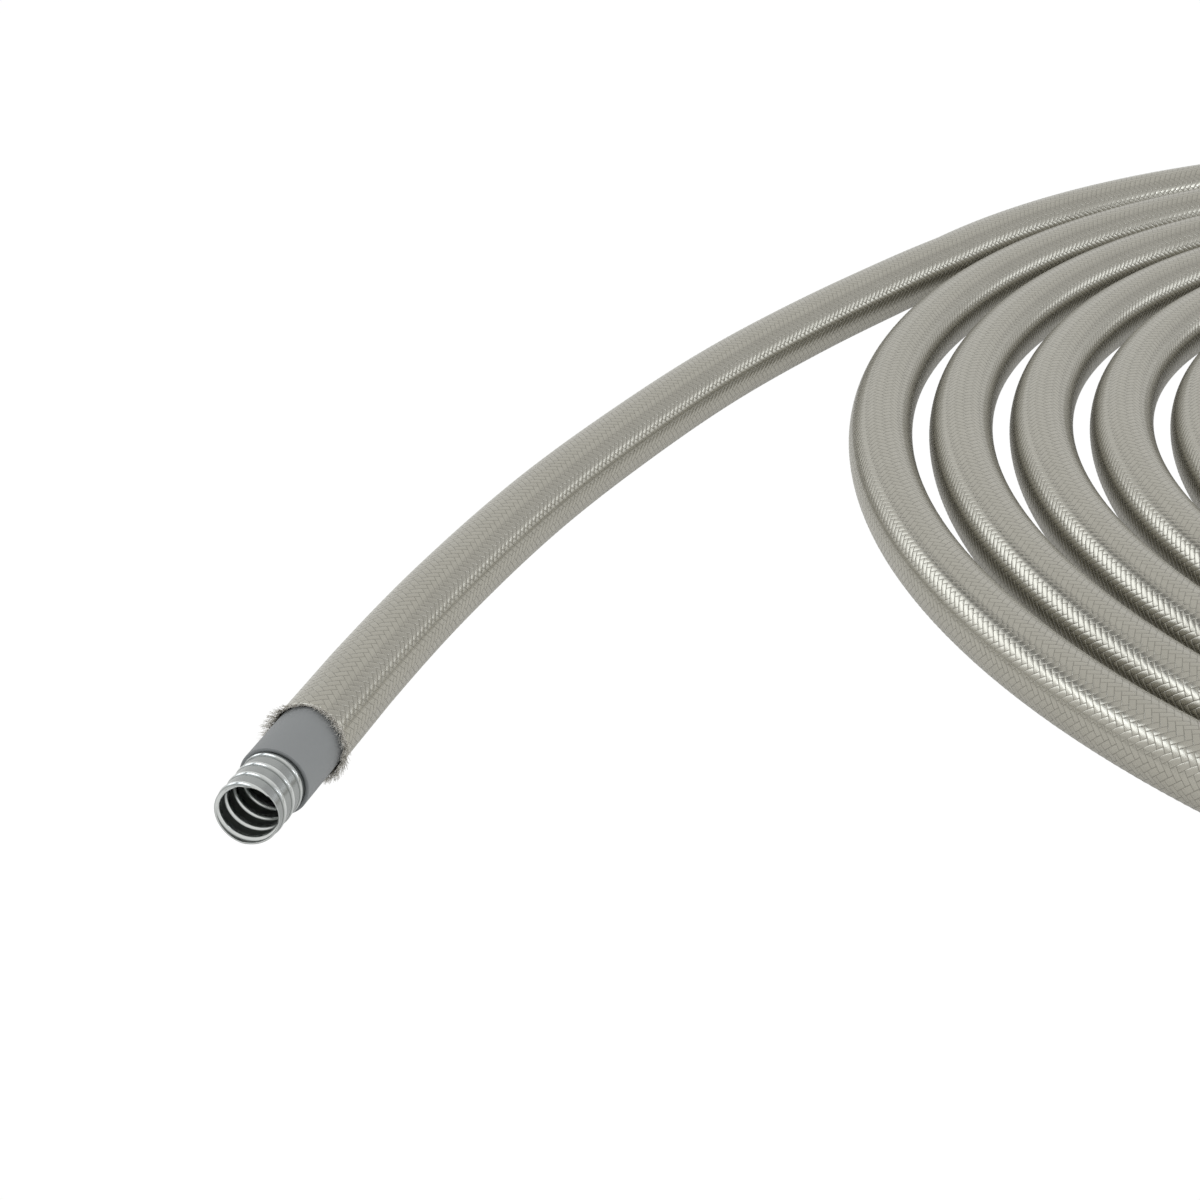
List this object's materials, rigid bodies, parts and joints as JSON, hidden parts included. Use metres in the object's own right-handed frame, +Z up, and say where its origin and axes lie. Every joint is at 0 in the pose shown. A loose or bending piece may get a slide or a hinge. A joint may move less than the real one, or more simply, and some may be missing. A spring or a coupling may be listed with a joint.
{
  "type": "insulated braided metal hose",
  "caption": "Flexible metal hose: strip-wound steel core, grey plastic jacket and woven wire braid, stripped back in steps at one end and laid in a flat coil.",
  "frame": {"origin": "on the floor, under the middle of the box round the whole hose as it lies", "axes": "+Z up, -Y out of the stripped end, +X from the lead across the coil"},
  "size_m": [0.837, 0.7806, 0.026],
  "materials": {
    "braid_wire": "woven fine wire, warm grey",
    "jacket_plastic": "smooth extruded, mid grey",
    "core_steel": "bright galvanised"
  },
  "bodies": {
    "root": {"overbraid": "braid_wire", "jacket": "jacket_plastic", "steel_core": "core_steel"}
  },
  "joints": []
}
